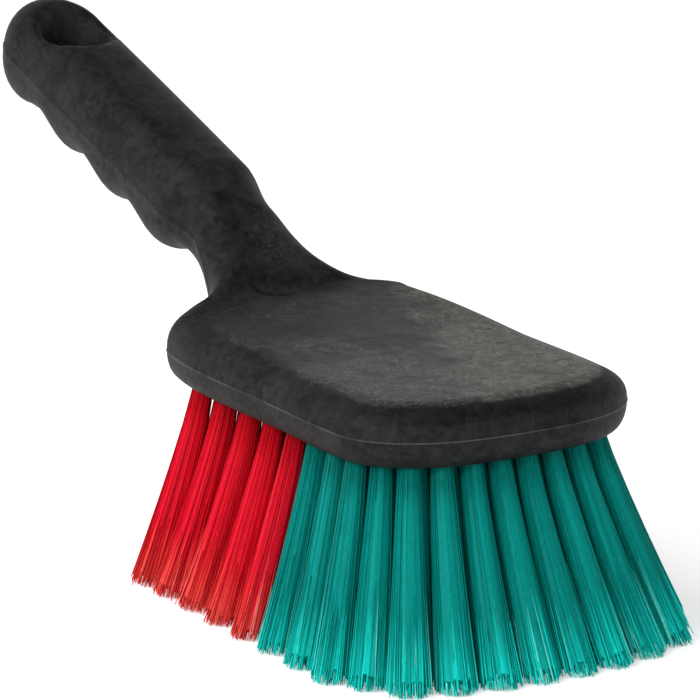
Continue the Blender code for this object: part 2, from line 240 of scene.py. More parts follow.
class BristleSettings(bpy.types.PropertyGroup):
    """The bundles of filament."""

    filaments: IntProperty(
        name="Filaments", description="Filaments in each tuft", min=12, max=240, default=120,
    )
    frays: IntProperty(
        name="Split ends", description="Fine split ends in each tuft", min=0, max=240, default=130,
    )
    thickness: FloatProperty(
        name="Thickness", description="Diameter of a filament at its root",
        min=0.0001, max=0.001, default=0.00038, **LENGTH,
    )
    root_radius: FloatProperty(
        name="Root radius", description="Radius of a tuft where it leaves the block",
        min=0.001, max=0.004, default=0.0027, **LENGTH,
    )
    tip_radius: FloatProperty(
        name="Tip radius", description="Radius of a tuft at its tips",
        min=0.001, max=0.008, default=0.0053, **LENGTH,
    )
    ragged: FloatProperty(
        name="Ragged ends", description="How much shorter than the rest the shortest filaments are",
        min=0.0, max=0.01, default=0.0022, **LENGTH,
    )
    wander: FloatProperty(
        name="Wander", description="How far a filament's tip strays from its place in the tuft",
        min=0.0, max=0.004, default=0.0006, **LENGTH,
    )
    # Painted shade: the red roots are coloured darker for the shade under the block
    red_shaded_root: FloatVectorProperty(
        name="Red roots", description="Colour of the red filaments at the block",
        default=(0.56, 0.003, 0.012, 1.0), **COLOUR,
    )
    red: FloatVectorProperty(
        name="Red", description="Colour of the red filaments",
        default=(0.72, 0.008, 0.026, 1.0), **COLOUR,
    )
    red_tip: FloatVectorProperty(
        name="Red tips", description="Colour of the split ends of the red filaments",
        default=(1.0, 0.130, 0.100, 1.0), **COLOUR,
    )
    # Painted shade: the green roots are coloured darker for the shade under the block
    green_shaded_root: FloatVectorProperty(
        name="Green roots", description="Colour of the green filaments at the block",
        default=(0.0, 0.200, 0.172, 1.0), **COLOUR,
    )
    green: FloatVectorProperty(
        name="Green", description="Colour of the green filaments",
        default=(0.0, 0.265, 0.230, 1.0), **COLOUR,
    )
    green_tip: FloatVectorProperty(
        name="Green tips", description="Colour of the split ends of the green filaments",
        default=(0.008, 0.820, 0.730, 1.0), **COLOUR,
    )


class StudioSettings(bpy.types.PropertyGroup):
    """The floor, the light and the camera."""

    azimuth: FloatProperty(
        name="Azimuth", description="Camera's direction round the brush",
        default=math.radians(57.98), **ANGLE,
    )
    elevation: FloatProperty(
        name="Elevation", description="Camera's height above the horizon",
        default=math.radians(15.25), **ANGLE,
    )
    roll: FloatProperty(
        name="Roll", description="Camera's turn about its own line of sight",
        default=math.radians(0.46), **ANGLE,
    )
    distance: FloatProperty(
        name="Distance", description="From the middle of the block to the camera", default=1.21324, **LENGTH,
    )
    lens: FloatProperty(
        name="Focal length", description="Camera's focal length in millimetres on a 36 mm sensor",
        unit="CAMERA", default=236.48,
    )
    floor: FloatVectorProperty(
        name="Floor", description="Colour of the floor", default=(0.86, 0.86, 0.86, 1.0), **COLOUR,
    )
    key_power: FloatProperty(
        name="Key lamp", description="Power of the main lamp", default=8.0, **POWER,
    )
    fill_power: FloatProperty(
        name="Fill lamp", description="Power of the lamp at the front", default=6.4, **POWER,
    )
    room_light: FloatProperty(
        name="Room light", description="Strength of the even light from all sides", min=0.0, default=0.54,
    )


# Helpers for meshes and curves


def new_object(name, points, faces):
    """A mesh object whose doubled points are merged and whose faces point outwards."""
    mesh = bpy.data.meshes.new(name)
    mesh.from_pydata([tuple(p) for p in points], [], faces)
    shape = bmesh.new()
    shape.from_mesh(mesh)
    bmesh.ops.remove_doubles(shape, verts=shape.verts, dist=MERGE_DISTANCE)
    bmesh.ops.recalc_face_normals(shape, faces=shape.faces)
    shape.to_mesh(mesh)
    shape.free()
    obj = bpy.data.objects.new(name, mesh)
    bpy.context.scene.collection.objects.link(obj)
    return obj


def settle(obj):
    """Turns what an object's modifiers make of it into its own plain mesh."""
    graph = bpy.context.evaluated_depsgraph_get()
    mesh = bpy.data.meshes.new_from_object(obj.evaluated_get(graph))
    old = obj.data
    obj.modifiers.clear()
    obj.data = mesh
    bpy.data.meshes.remove(old)
    mesh.name = obj.name


def hand_over(obj, slot, *nodes):
    """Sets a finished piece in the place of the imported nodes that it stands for."""
    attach(obj, "root")
    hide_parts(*nodes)


def faired(x, *stations):
    """A smooth curve through (x, value) stations in rising x, which never overshoots, level past its ends."""
    xs, values = np.array(stations).T
    x = min(max(x, xs[0]), xs[-1])
    secants = np.diff(values) / np.diff(xs)
    slopes = np.concatenate([secants[:1], np.zeros(len(xs) - 2), secants[-1:]])
    for k in range(1, len(xs) - 1):
        if secants[k - 1] * secants[k] > 0:
            slopes[k] = 2 * secants[k - 1] * secants[k] / (secants[k - 1] + secants[k])
    i = min(int(np.searchsorted(xs, x, side="right")) - 1, len(xs) - 2)
    span = xs[i + 1] - xs[i]
    t = (x - xs[i]) / span
    rise = values[i + 1] - values[i]
    start, end = slopes[i] * span, slopes[i + 1] * span
    return values[i] + start * t + (3 * rise - 2 * start - end) * t**2 + (start + end - 2 * rise) * t**3


def turning_curve(start, leave, end, arrive, steps):
    """Points from start up to, not including, end, on a cubic that turns evenly between two headings."""
    start, end = Vector((*start, 0)), Vector((*end, 0))
    leave, arrive = math.radians(leave), math.radians(arrive)
    reach = (end - start).length / (3 * math.cos((arrive - leave) / 4) ** 2)
    first = start + reach * Vector((math.cos(leave), math.sin(leave), 0))
    second = end - reach * Vector((math.cos(arrive), math.sin(arrive), 0))
    return [(p.x, p.y) for p in interpolate_bezier(start, first, second, end, steps + 1)[:-1]]


# The moulded block and handle


def half_plan(steps):
    """The outline's half at +Y, from the middle of the front edge to the handle's end.

    Each knot has its place, its heading in degrees, where 90 is +Y, and how closely it is followed by points.
    """
    knots = (
        ((BLOCK_FRONT, 0.0), 90, 1.0),
        ((BLOCK_FRONT - BOW_DROP, BOW_HALF_WIDTH), 110, 1.2),
        ((CORNER_BACK, CORNER_HALF_WIDTH), 176, 1.0),
        ((WIDEST_X, BLOCK_HALF_WIDTH), 180, 1.0),
        ((SHOULDER_START, SHOULDER_HALF_WIDTH), 195, 1.3),
        ((SHOULDER_MIDDLE, SHOULDER_MIDDLE_HALF_WIDTH), 251, 1.3),
        ((NECK_X, NECK_HALF_WIDTH), 192, 0.7),
        ((GRIP_START, GRIP_HALF_WIDTH), 180, 3.4),
        ((GRIP_BACK, GRIP_HALF_WIDTH), 181, 1.2),
        ((HANDLE_END, 0.0), 270, 0.0),
    )
    points = []
    for (start, leave, density), (end, arrive, _) in zip(knots, knots[1:]):
        points += turning_curve(start, leave, end, arrive, round(steps * density))
    return np.array([*points, knots[-1][0]])


def inward_normals(plan):
    """The way into the body from each point of the plan."""
    tangent = np.gradient(plan, axis=0)
    tangent /= np.linalg.norm(tangent, axis=1)[:, None]
    normals = np.column_stack([-tangent[:, 1], tangent[:, 0]])
    normals[0] = (-1.0, 0.0)
    normals[-1] = (1.0, 0.0)
    return normals


def groove_lift(x):
    """How far the finger grooves raise the underside of the grip at x."""
    lift = 0.0
    for k in range(GROOVE_COUNT):
        away = abs(x - (GRIP_START + GROOVE_LEAD - k * GROOVE_PITCH)) / GROOVE_PITCH
        if away < 0.5:
            lift += GROOVE_DEPTH * math.cos(math.pi * away) ** 2
    return lift


def parting_lift(x):
    """The height of the parting line at x, as it climbs from the block to the handle's end."""
    end_lift = GRIP_LIFT + math.tan(GRIP_SLOPE) * (GRIP_START - HANDLE_END)
    handle = ((HANDLE_END, end_lift), (GRIP_START, GRIP_LIFT), (NECK_X, NECK_LIFT))
    return faired(x, *handle, (NECK_MIDDLE, NECK_MIDDLE_LIFT), (NECK_START, 0.0))


def section(x):
    """How far the body reaches above and below its parting line at x."""
    handle_rise = ((GRIP_START, GRIP_RISE), (NECK_X, NECK_RISE), (NECK_MIDDLE, NECK_MIDDLE_RISE))
    rise = faired(x, *handle_rise, (SHOULDER_START, SHOULDER_RISE), (WIDEST_X, BLOCK_RISE))
    depth = faired(x, (GRIP_START, GRIP_DEPTH), (NECK_X, NECK_DEPTH), (SHOULDER_START, BLOCK_DEPTH))
    return rise, depth - groove_lift(x)


def top_rounds(plan, normals):
    """How far in the top edge's rounding reaches from the plan. Its inner line never turns back."""
    shoulder = ((SHOULDER_MIDDLE, SHOULDER_ROUND), (SHOULDER_START, TOP_EDGE_ROUND))
    stations = ((NECK_X, GRIP_HALF_WIDTH), *shoulder)
    reaches, last_x = [], BLOCK_FRONT
    for point, normal in zip(plan, normals):
        reach = faired(point[0], *stations)
        if point[0] < CORNER_BACK:
            to_middle = point[1] / abs(normal[1]) if abs(normal[1]) > MERGE_DISTANCE else END_RADIUS
            reach = min(reach, ROUNDED_SHARE * to_middle)
        if normal[0] > 0:
            reach = min(reach, (last_x - INSET_STEP - point[0]) / normal[0])
        last_x = point[0] + normal[0] * reach
        reaches.append(reach)
    return reaches


def section_tilt(x):
    """How far the body's section at x leans forwards for each metre above its parting line."""
    return math.sin(GRIP_SLOPE) * faired(x, (GRIP_START, 1.0), (NECK_START, 0.0))


def body_profile(point, normal, top_round, seam_width, seam_height):
    """One profile of the body at a point of the plan, from the middle of the underside to that of the top."""
    rounding = faired(point[0], (NECK_X, 1.0), (SHOULDER_START, 0.0))
    rim_round = RIM_INSET + (top_round - RIM_INSET) * rounding
    low_power = 1 + (SECTION_FULLNESS - 1) * rounding
    across_power = EDGE_CRISPNESS + (SECTION_FULLNESS - EDGE_CRISPNESS) * rounding
    up_power = EDGE_FULLNESS + (SECTION_FULLNESS - EDGE_FULLNESS) * rounding

    def at(angle, reach, across, up, side):
        """The point where the profile has turned by this angle, on the upper or lower side."""
        x, y = point + normal * reach * (1 - max(math.cos(angle), 0.0) ** across)
        rise, depth = section(x)
        height = (rise if side > 0 else -depth) * math.sin(angle) ** up
        return np.array([x + section_tilt(x) * height, y, parting_lift(x) + height])

    def turned(up):
        """The angles of a profile's points, the first of them at the edge of the seam."""
        first = math.asin((seam_width / 2 / BLOCK_DEPTH) ** (1 / up))
        return [first + (math.pi / 2 - first) * k / ROUND_STEPS for k in range(ROUND_STEPS + 1)]

    lower = [at(angle, rim_round, low_power, low_power, -1) for angle in turned(low_power)]
    upper = [at(angle, top_round, across_power, up_power, 1) for angle in turned(up_power)]
    x, y = point - normal * seam_height
    seam = np.array([x, y, parting_lift(x)])
    across = [upper[-1] * (1, 1 - k / TOP_STEPS, 1) for k in range(1, TOP_STEPS + 1)]
    return [lower[-1] * (1, 0, 1), *lower[::-1], seam, *upper, *across]


def body_shell(seam_width, seam_height):
    """Points and faces of the whole outer skin, from the half at +Y and its mirror image."""
    plan = half_plan(OUTLINE_STEPS)
    normals = inward_normals(plan)
    places = zip(plan, normals, top_rounds(plan, normals))
    profiles = [body_profile(*place, seam_width, seam_height) for place in places]
    width = len(profiles[0])
    points = [p for profile in profiles for p in profile]
    faces = []
    for i in range(len(profiles) - 1):
        for k in range(width - 1):
            a = i * width + k
            faces.append((a, a + 1, a + width + 1, a + width))
    count = len(points)
    points += [p * (1, -1, 1) for p in points]
    faces += [tuple(count + v for v in reversed(face)) for face in faces]
    return points, faces


def hole_frame():
    """The hanging hole's own frame: its middle, turned square to the grip's slope."""
    middle = Vector((HOLE_X, 0.0, parting_lift(HOLE_X))) + PLACE
    return Matrix.Translation(middle) @ Matrix.Rotation(GRIP_SLOPE, 4, "Y")


def hole_shell():
    """Points and faces of two oval funnels that meet in the middle of the handle's thickness."""
    half_height = GRIP_RISE / math.cos(GRIP_SLOPE)
    shares = np.linspace(-HOLE_REACH, HOLE_REACH, HOLE_RINGS)
    points, faces = [], []
    for share in shares:
        scale = HOLE_WAIST + (1 - HOLE_WAIST) * share**2
        for k in range(HOLE_SIDES):
            angle = 2 * math.pi * k / HOLE_SIDES
            x, y = HOLE_LENGTH / 2 * math.cos(angle), HOLE_WIDTH / 2 * math.sin(angle)
            points.append(hole_frame() @ Vector((x * scale, y * scale, half_height * share)))
    for i in range(len(shares) - 1):
        for k in range(HOLE_SIDES):
            a, b = i * HOLE_SIDES + k, i * HOLE_SIDES + (k + 1) % HOLE_SIDES
            faces.append((a, b, b + HOLE_SIDES, a + HOLE_SIDES))
    last = (len(shares) - 1) * HOLE_SIDES
    faces += [tuple(range(HOLE_SIDES))[::-1], tuple(range(last, last + HOLE_SIDES))]
    return points, faces


def round_the_lip(mesh, reach):
    """Eases the sharp rim that the funnel leaves, on both faces of the handle."""
    to_hole = hole_frame().inverted()
    shape = bmesh.new()
    shape.from_mesh(mesh)
    rim = [e for e in shape.edges if len(e.link_faces) == 2 and e.calc_face_angle(0.0) > RIM_ANGLE]
    corners = [v.co.copy() for e in rim for v in e.verts if abs((to_hole @ v.co).x) < HOLE_LENGTH]
    corners = [c for c in corners if abs((to_hole @ c).y) < HOLE_WIDTH]
    near = {}
    for v in shape.verts:
        away = min((v.co - c).length for c in corners) if (to_hole @ v.co).length < HOLE_LENGTH else reach
        if away < reach:
            near[v] = LIP_PULL * (1 - (away / reach) ** 2)
    for _ in range(LIP_PASSES):
        moved = {}
        for v, pull in near.items():
            around = [e.other_vert(v).co for e in v.link_edges]
            moved[v] = v.co.lerp(sum(around, Vector()) / len(around), pull)
        for v, co in moved.items():
            v.co = co
    shape.to_mesh(mesh)
    shape.free()


def dent_share(place):
    """How deep the dent on the neck is at a place: 1 along its middle, 0 away from it."""
    away = (place - PLACE).xy - Vector(DENT_MIDDLE)
    turned = abs(away.angle_signed(Vector((math.cos(DENT_HEADING), math.sin(DENT_HEADING))), 0.0))
    across = 1 - abs(away.length - DENT_RADIUS) / DENT_HALF_WIDTH
    along = (DENT_HALF_TURN + DENT_FADE - turned) / (2 * DENT_FADE)
    across, along = (min(1.0, max(0.0, share)) for share in (across, along))
    return across**2 * (3 - 2 * across) * along**2 * (3 - 2 * along)


def press_dent(mesh, depth):
    """Presses the curved dent into the top of the neck, and marks it for the material, which paints shade into
    it.
    """
    shares = [dent_share(v.co) if v.normal.z > DENT_FACING else 0.0 for v in mesh.vertices]
    moves = [v.normal * (-depth * share) for v, share in zip(mesh.vertices, shares)]
    for v, move in zip(mesh.vertices, moves):
        v.co += move
    mesh.attributes.new("dent", "FLOAT", "POINT").data.foreach_set("value", shares)


def mark_seam(mesh):
    """Marks the points along the mould's parting line, where the material paints a pale highlight."""
    mark = mesh.attributes.new("seam", "FLOAT", "POINT")
    for v in mesh.vertices:
        x, _, z = v.co - PLACE
        mark.data[v.index].value = float(abs(z - parting_lift(x)) < INSET_STEP)


# Material helpers


class Graph:
    """Adds nodes to a tree and joins them, so that one line reads as one step."""

    def __init__(self, tree):
        self.tree = tree

    def add(self, kind, inputs=None, **settings):
        node = self.tree.nodes.new(kind)
        for name, value in settings.items():
            setattr(node, name, value)
        for name, value in (inputs or {}).items():
            self.join(self.pick(node.inputs, name), value)
        return node

    def made(self, kind, inputs=None, **settings):
        """The first enabled output of a new node."""
        return next(s for s in self.add(kind, inputs, **settings).outputs if s.enabled)

    def join(self, socket, value):
        if isinstance(value, bpy.types.NodeSocket):
            self.tree.links.new(value, socket)
        else:
            socket.default_value = value

    @staticmethod
    def pick(sockets, name):
        """A socket by its place, or the enabled one of this name."""
        if isinstance(name, int):
            return sockets[name]
        return next(s for s in sockets if s.name == name and s.enabled)

    def calc(self, operation, *values, clamp=False):
        given = dict(enumerate(values))
        return self.made("ShaderNodeMath", given, operation=operation, use_clamp=clamp)

    def plus(self, first, second):
        return self.calc("ADD", first, second)

    def less(self, first, second):
        return self.calc("SUBTRACT", first, second)

    def times(self, first, *others):
        for value in others:
            first = self.calc("MULTIPLY", first, value)
        return first

    def vector(self, operation, first, second):
        names = ("Vector", "Scale") if operation == "SCALE" else (0, 1)
        return self.made("ShaderNodeVectorMath", dict(zip(names, (first, second))), operation=operation)

    def number(self, operation, first, second):
        """A vector step whose result is one number."""
        return self.add("ShaderNodeVectorMath", {0: first, 1: second}, operation=operation).outputs["Value"]

    def mix(self, share, first, second, kind="RGBA"):
        return self.made("ShaderNodeMix", {"Factor": share, "A": first, "B": second}, data_type=kind)

    def span(self, value, low, high, to_low=0.0, to_high=1.0):
        """Maps a value from one range to another, smoothly and clamped."""
        given = {0: value, 1: low, 2: high, 3: to_low, 4: to_high}
        return self.add("ShaderNodeMapRange", given, interpolation_type="SMOOTHSTEP").outputs[0]

    def noise(self, place, scale, detail=2.0, roughness=0.5, distortion=0.0):
        given = {"Vector": place, "Scale": scale, "Detail": detail, "Roughness": roughness}
        return self.add("ShaderNodeTexNoise", {**given, "Distortion": distortion}).outputs["Fac"]

    def ragged(self, noise, reach):
        """A noise about its middle value, as a shift of up to half this reach either way."""
        return self.times(self.less(noise, 0.5), reach)

    def mark(self, name):
        """What is stored on the mesh under this name."""
        return self.add("ShaderNodeAttribute", attribute_name=name).outputs["Fac"]

    def part(self, vector, axis):
        return self.add("ShaderNodeSeparateXYZ", {0: vector}).outputs[axis]

    def lines(self, place, scale, width, distortion):
        """Fine curling lines, where a noise passes through its middle value."""
        value = self.noise(place, scale, distortion=distortion)
        return self.span(self.calc("ABSOLUTE", self.less(value, 0.5)), 0.0, width, 1.0, 0.0)

    def seen(self):
        """Whether the camera looks, and whether it, a reflection or what glass shows does."""
        rays = self.add("ShaderNodeLightPath").outputs
        looked_at = self.calc("MAXIMUM", rays["Is Camera Ray"], rays["Is Glossy Ray"])
        return rays["Is Camera Ray"], self.calc("MAXIMUM", looked_at, rays["Is Transmission Ray"])


def new_material(name):
    """A node material and its graph, shader inputs and Object coordinates."""
    material = bpy.data.materials.new(name)
    material.use_nodes = True
    graph = Graph(material.node_tree)
    shader = material.node_tree.nodes["Principled BSDF"].inputs
    place = graph.add("ShaderNodeTexCoord").outputs["Object"]
    return material, graph, shader, place


# Noises in the plastic: scale, detail, roughness and distortion
CLOUDS = (48.0, 4.0, 0.60, 0.8)
FLECKS = (330.0, 4.0, 0.62, 0.8)
TOP_BORDER = (160.0, 4.0, 0.65, 1.0)
WEAR = (85.0, 4.0, 0.60, 1.2)
FLOW_BORDER = (60.0, 4.0, 0.60, 1.5)
FLOW_MOTTLE = (110.0, 6.0, 0.72, 2.6)
HIGHLIGHT_SPECKS = (420.0, 4.0, 0.70, 1.5)
SCUFFED_PLACES = (42.0, 2.0)
GRAIN = (1300.0, 3.0, 0.60)

# Fine curling lines in the plastic: scale, width and distortion
FLOW_VEINS = (130.0, 0.060, 2.2)
SWIRLS = (90.0, 0.024, 2.6)
HAIRLINES = (230.0, 0.022, 1.8)

# The x at which each look of the plastic begins and is full, forwards from the middle of the moulding
TOP_FADE = (-0.066, -0.050)
# Painted shade under the ridge fades in towards the front of the block
RIDGE_FADE = (-0.015, 0.040)
WEAR_AND_SHEEN_FADE = (-0.045, 0.000)
SCUFF_FADE = (-0.045, -0.010)
SEAM_HIGHLIGHT_FADE = (-0.100, -0.070)

# The flow mark lies beyond a line across the top of the block, square to this direction
FLOW_SLANT = (0.38, 0.925, 0.0)
FLOW_FADE = (0.004, 0.014)
FLOW_RAGGED = 0.040

# A painted highlight on the far side of the neck, where its surface faces up, and where its rim fades
NECK_HIGHLIGHT = (-0.0780, 0.0055, 0.0210)
HIGHLIGHT_FADE = (0.0060, 0.0140)

# How upright a face is where the top's own looks begin and are full, and where the painted shade on the side
# just under the top's ridge rises and ends
TOP_FACING = (0.920, 0.970)
TOP_RAGGED = 0.08
RIDGE_RISES = (0.45, 0.80)
RIDGE_ENDS = (0.93, 0.965)

# What is left of the plastic's colour in the painted shade under the ridge and in the dent's painted shade,
# and how much each pale look hides it, the worn top's partly painted sheen and the neck's painted highlight
# among them
RIDGE_PAINTED_SHADE = 0.45
DENT_PAINTED_SHADE = 0.35
WEAR_AND_SHEEN_SHARE = 0.8
HIGHLIGHT_SHARE = 0.8
HAIRLINE_SHARE = 0.7
SCUFF_SHARE = 0.75


def moulding_material(settings):
    """Matt black plastic: cloudy mottling, fine curling scuffs, a worn top that is partly painted sheen, one
    warmer flow mark, painted shade under the front ridge and in the dent, and painted highlights on the neck
    and along the parting line.
    """
    material, graph, shader, place = new_material("black_moulded_plastic")
    spot = graph.vector("SUBTRACT", place, tuple(PLACE))
    along = graph.part(spot, "X")
    upward = graph.part(graph.add("ShaderNodeNewGeometry").outputs["Normal"], "Z")
    cloud = graph.noise(spot, *CLOUDS)
    fleck = graph.noise(spot, *FLECKS)

    tone = graph.plus(graph.span(cloud, 0.32, 0.68, 0.50, 1.60), graph.span(fleck, 0.3, 0.7, -0.40, 0.40))
    colour = graph.vector("SCALE", settings.plastic[:3], tone)
    # Painted shade: the colour is darkened on the side just under the top's ridge, towards the front of the
    # block
    ridge = graph.times(graph.span(upward, *RIDGE_RISES), graph.span(upward, *RIDGE_ENDS, 1.0, 0.0))
    ridge = graph.times(ridge, graph.span(along, *RIDGE_FADE))
    colour = graph.vector("SCALE", colour, graph.span(ridge, 0.0, 1.0, 1.0, RIDGE_PAINTED_SHADE))

    edge = graph.plus(upward, graph.ragged(graph.noise(spot, *TOP_BORDER), TOP_RAGGED))
    top = graph.times(graph.span(edge, *TOP_FACING), graph.span(along, *TOP_FADE))
    # Worn top: partly real wear and partly painted sheen, lighter on upward faces and towards the front of the
    # block
    wear = graph.span(graph.noise(spot, *WEAR), 0.36, 0.62, 0.45, 1.0)
    worn = graph.times(top, graph.span(along, *WEAR_AND_SHEEN_FADE, 0.10, 1.0), wear)
    colour = graph.mix(graph.times(worn, WEAR_AND_SHEEN_SHARE), colour, settings.worn)

    slant = graph.number("DOT_PRODUCT", spot, FLOW_SLANT)
    slant = graph.plus(slant, graph.ragged(graph.noise(spot, *FLOW_BORDER), FLOW_RAGGED))
    mottle = graph.span(graph.noise(spot, *FLOW_MOTTLE), 0.42, 0.56, 0.34, 1.0)
    flow = graph.times(graph.span(slant, *FLOW_FADE), mottle, top)
    colour = graph.mix(flow, colour, settings.stain)
    colour = graph.mix(graph.times(graph.lines(spot, *FLOW_VEINS), flow), colour, settings.plastic)

    # Painted highlight: a paler, speckled patch in the worn colour on the far side of the neck
    neck_highlight = graph.span(graph.number("DISTANCE", spot, NECK_HIGHLIGHT), *HIGHLIGHT_FADE, HIGHLIGHT_SHARE, 0.0)
    neck_highlight = graph.times(neck_highlight, graph.span(graph.noise(spot, *HIGHLIGHT_SPECKS), 0.42, 0.60))
    colour = graph.mix(neck_highlight, colour, settings.worn)
    # Painted shade: the colour is darkened in the curved dent on the neck
    colour = graph.vector("SCALE", colour, graph.span(graph.mark("dent"), 0.0, 1.0, 1.0, DENT_PAINTED_SHADE))

    hairlines = graph.times(graph.lines(spot, *HAIRLINES), HAIRLINE_SHARE)
    scuffs = graph.calc("MAXIMUM", graph.lines(spot, *SWIRLS), hairlines)
    scuffs = graph.times(scuffs, graph.span(graph.noise(spot, *SCUFFED_PLACES), 0.38, 0.56))
    scuffs = graph.times(scuffs, graph.span(top, 0.0, 1.0, 0.11, 1.0))
    scuffs = graph.times(scuffs, graph.span(along, *SCUFF_FADE, 0.45, 1.0))
    colour = graph.mix(graph.times(scuffs, SCUFF_SHARE), colour, settings.scuff)
    # Painted highlight: the raised bead along the parting line is painted pale in the scuff colour, fainter on
    # the handle
    seam = graph.times(graph.span(graph.mark("seam"), 0.35, 0.85), graph.span(cloud, 0.40, 0.60, 0.25, 0.75))
    seam = graph.times(seam, graph.span(along, *SEAM_HIGHLIGHT_FADE, 0.25, 1.0))
    colour = graph.mix(seam, colour, settings.scuff)

    gloss = graph.span(top, 0.0, 1.0, 0.19, 0.24)
    gloss = graph.plus(gloss, graph.span(fleck, 0.3, 0.7, -0.045, 0.045))
    height = graph.plus(graph.times(graph.noise(spot, *GRAIN), 0.3), fleck)
    height = graph.plus(height, graph.times(scuffs, 0.3))
    graph.join(shader["Base Color"], colour)
    graph.join(shader["Roughness"], graph.span(worn, 0.0, 1.0, 0.60, 0.50))
    graph.join(shader["Specular IOR Level"], gloss)
    bump = {"Height": height, "Strength": 0.45, "Distance": 0.0002}
    graph.join(shader["Normal"], graph.made("ShaderNodeBump", bump))
    return material


# How the colour changes along a filament, as shares of its length; the darker roots are painted shade under
# the block
ROOT_SHADE_END = 0.30
TIP_COLOUR_START = 0.80
TIP_COLOUR_SPREAD = 0.22
TIP_COLOUR_LENGTH = 0.34
PALE_HAIRS = 0.45


def bristle_material(name, root, middle, tip):
    """Plastic filament: a colour that follows its length, darker towards the root as painted shade under the
    block, a tone of its own, and paler split ends.
    """
    material, graph, shader, place = new_material(name)
    along, tone = graph.mark("along"), graph.mark("tone")
    # Painted shade: the colour is darker towards the root, where the block and the other tufts shade it
    colour = graph.mix(graph.span(along, 0.0, ROOT_SHADE_END), root, middle)
    start = graph.less(TIP_COLOUR_START, graph.times(tone, TIP_COLOUR_SPREAD))
    ends = graph.calc("DIVIDE", graph.less(along, start), TIP_COLOUR_LENGTH, clamp=True)
    ends = graph.times(ends, graph.span(tone, 0.0, 1.0, 0.60, 1.0))
    colour = graph.mix(ends, colour, tip)
    pale = graph.times(ends, graph.span(tone, 0.84, 1.0), PALE_HAIRS, graph.mark("loose"))
    colour = graph.mix(pale, colour, tuple(0.5 + 0.5 * part for part in tip))
    streak = graph.noise(graph.vector("MULTIPLY", place, (1.0, 1.0, 0.06)), 1600.0)
    light = graph.times(graph.span(tone, 0.0, 1.0, 0.88, 1.10), graph.span(streak, 0.3, 0.7, 0.93, 1.07))
    light = graph.times(light, graph.span(graph.mark("shade"), 0.0, 1.0, 1.0, 0.82))
    graph.join(shader["Base Color"], graph.vector("SCALE", colour, light))
    graph.join(shader["Roughness"], graph.span(along, 0.5, 1.0, 0.52, 0.66))
    shader["Specular IOR Level"].default_value = 0.06
    bump = {"Height": streak, "Strength": 0.2, "Distance": 0.00005}
    graph.join(shader["Normal"], graph.made("ShaderNodeBump", bump))
    return material


def steel_material():
    """Drawn steel wire: a bright metal with fine lengthwise drawing marks."""
    material, graph, shader, place = new_material("drawn_steel")
    marks = graph.noise(graph.vector("MULTIPLY", place, (4.0, 0.3, 4.0)), 900.0, 3.0)
    colour = graph.mix(graph.span(marks, 0.3, 0.7), (0.46, 0.46, 0.47, 1.0), (0.62, 0.62, 0.63, 1.0))
    graph.join(shader["Base Color"], colour)
    graph.join(shader["Roughness"], graph.span(marks, 0.3, 0.7, 0.25, 0.38))
    shader["Metallic"].default_value = 1.0
    return material


WHITE = (1.0, 1.0, 1.0, 1.0)
# The floor's own light, where the camera or a reflection sees it
FLOOR_GLOW = 0.42


def floor_material(colour):
    """A pale floor that looks near white where it is lit, and keeps the shadow of what stands on it."""
    material, graph, shader, place = new_material("studio_floor")
    shade = graph.span(graph.noise(place, 40.0), 0.3, 0.7, 0.985, 1.0)
    graph.join(shader["Base Color"], graph.vector("SCALE", colour[:3], shade))
    shader["Roughness"].default_value = 0.8
    graph.join(shader["Emission Strength"], graph.times(graph.seen()[1], FLOOR_GLOW))
    shader["Emission Color"].default_value = WHITE
    return material


# The tufts


def row_x(row, y):
    """The x of a row's middle line at y."""
    share = row / (ROW_COUNT - 1)
    straight = FIRST_ROW + (LAST_ROW - FIRST_ROW) * share * (1 + ROW_CROWDING * (1 - share))
    return straight - ROW_BOW * share**2 * abs(y / FIELD_HALF_WIDTH) ** ROW_BOW_POWER


def row_reach(row):
    """The largest y at which a row's middle line is still inside the ring of the outermost tufts."""
    plan = half_plan(RING_STEPS)
    ring = plan + inward_normals(plan) * (RIM_INSET + RING_INSET - RING_SLACK)
    ring = ring[ring[:, 0] > FIRST_ROW - TUFT_PITCH][::-1]
    ys = np.linspace(0.0, FIELD_HALF_WIDTH, REACH_STEPS)
    return max(y for y in ys if y <= np.interp(row_x(row, y), ring[:, 0], ring[:, 1]))


def tuft_ys(row):
    """Where the tufts of a row stand. Every other row is shifted by half a pitch."""
    reach = row_reach(row)
    start = TUFT_PITCH / 2 if row % 2 == 0 else 0.0
    count = 1 + int((reach + TUFT_PITCH / 4 - start) / TUFT_PITCH)
    side = [min(start + TUFT_PITCH * k, reach) for k in range(count)]
    return [-y for y in side[::-1] if y > 0] + side


def lean(x, y):
    """How far a tuft that is rooted at (x, y) reaches out on its way to its tip."""
    along = (x - FIELD_MIDDLE) / FIELD_HALF_LENGTH
    half_sum, half_difference = (FRONT_LEAN + BACK_LEAN) / 2, (FRONT_LEAN - BACK_LEAN) / 2
    forward = MIDDLE_LEAN + half_difference * along + (half_sum - MIDDLE_LEAN) * along**2
    return (forward, SIDE_LEAN * y / FIELD_HALF_WIDTH, 0.0)


# The tuft tree's inputs that are settings, each with its kind of socket and the setting's name
TUFT_SETTINGS = {
    "Filaments": ("NodeSocketInt", "filaments"),
    "Split Ends": ("NodeSocketInt", "frays"),
    "Thickness": ("NodeSocketFloat", "thickness"),
    "Root Radius": ("NodeSocketFloat", "root_radius"),
    "Tip Radius": ("NodeSocketFloat", "tip_radius"),
    "Ragged Ends": ("NodeSocketFloat", "ragged"),
    "Wander": ("NodeSocketFloat", "wander"),
}
# Its other inputs
TUFT_FIXED = {"Length": "NodeSocketFloat", "Seed": "NodeSocketInt", "Finish": "NodeSocketMaterial"}
SEED = 11
# How far apart the numbers of two rows are, and those that two tufts draw for
ROW_NUMBERS = 20
TUFT_NUMBERS = 1000.0

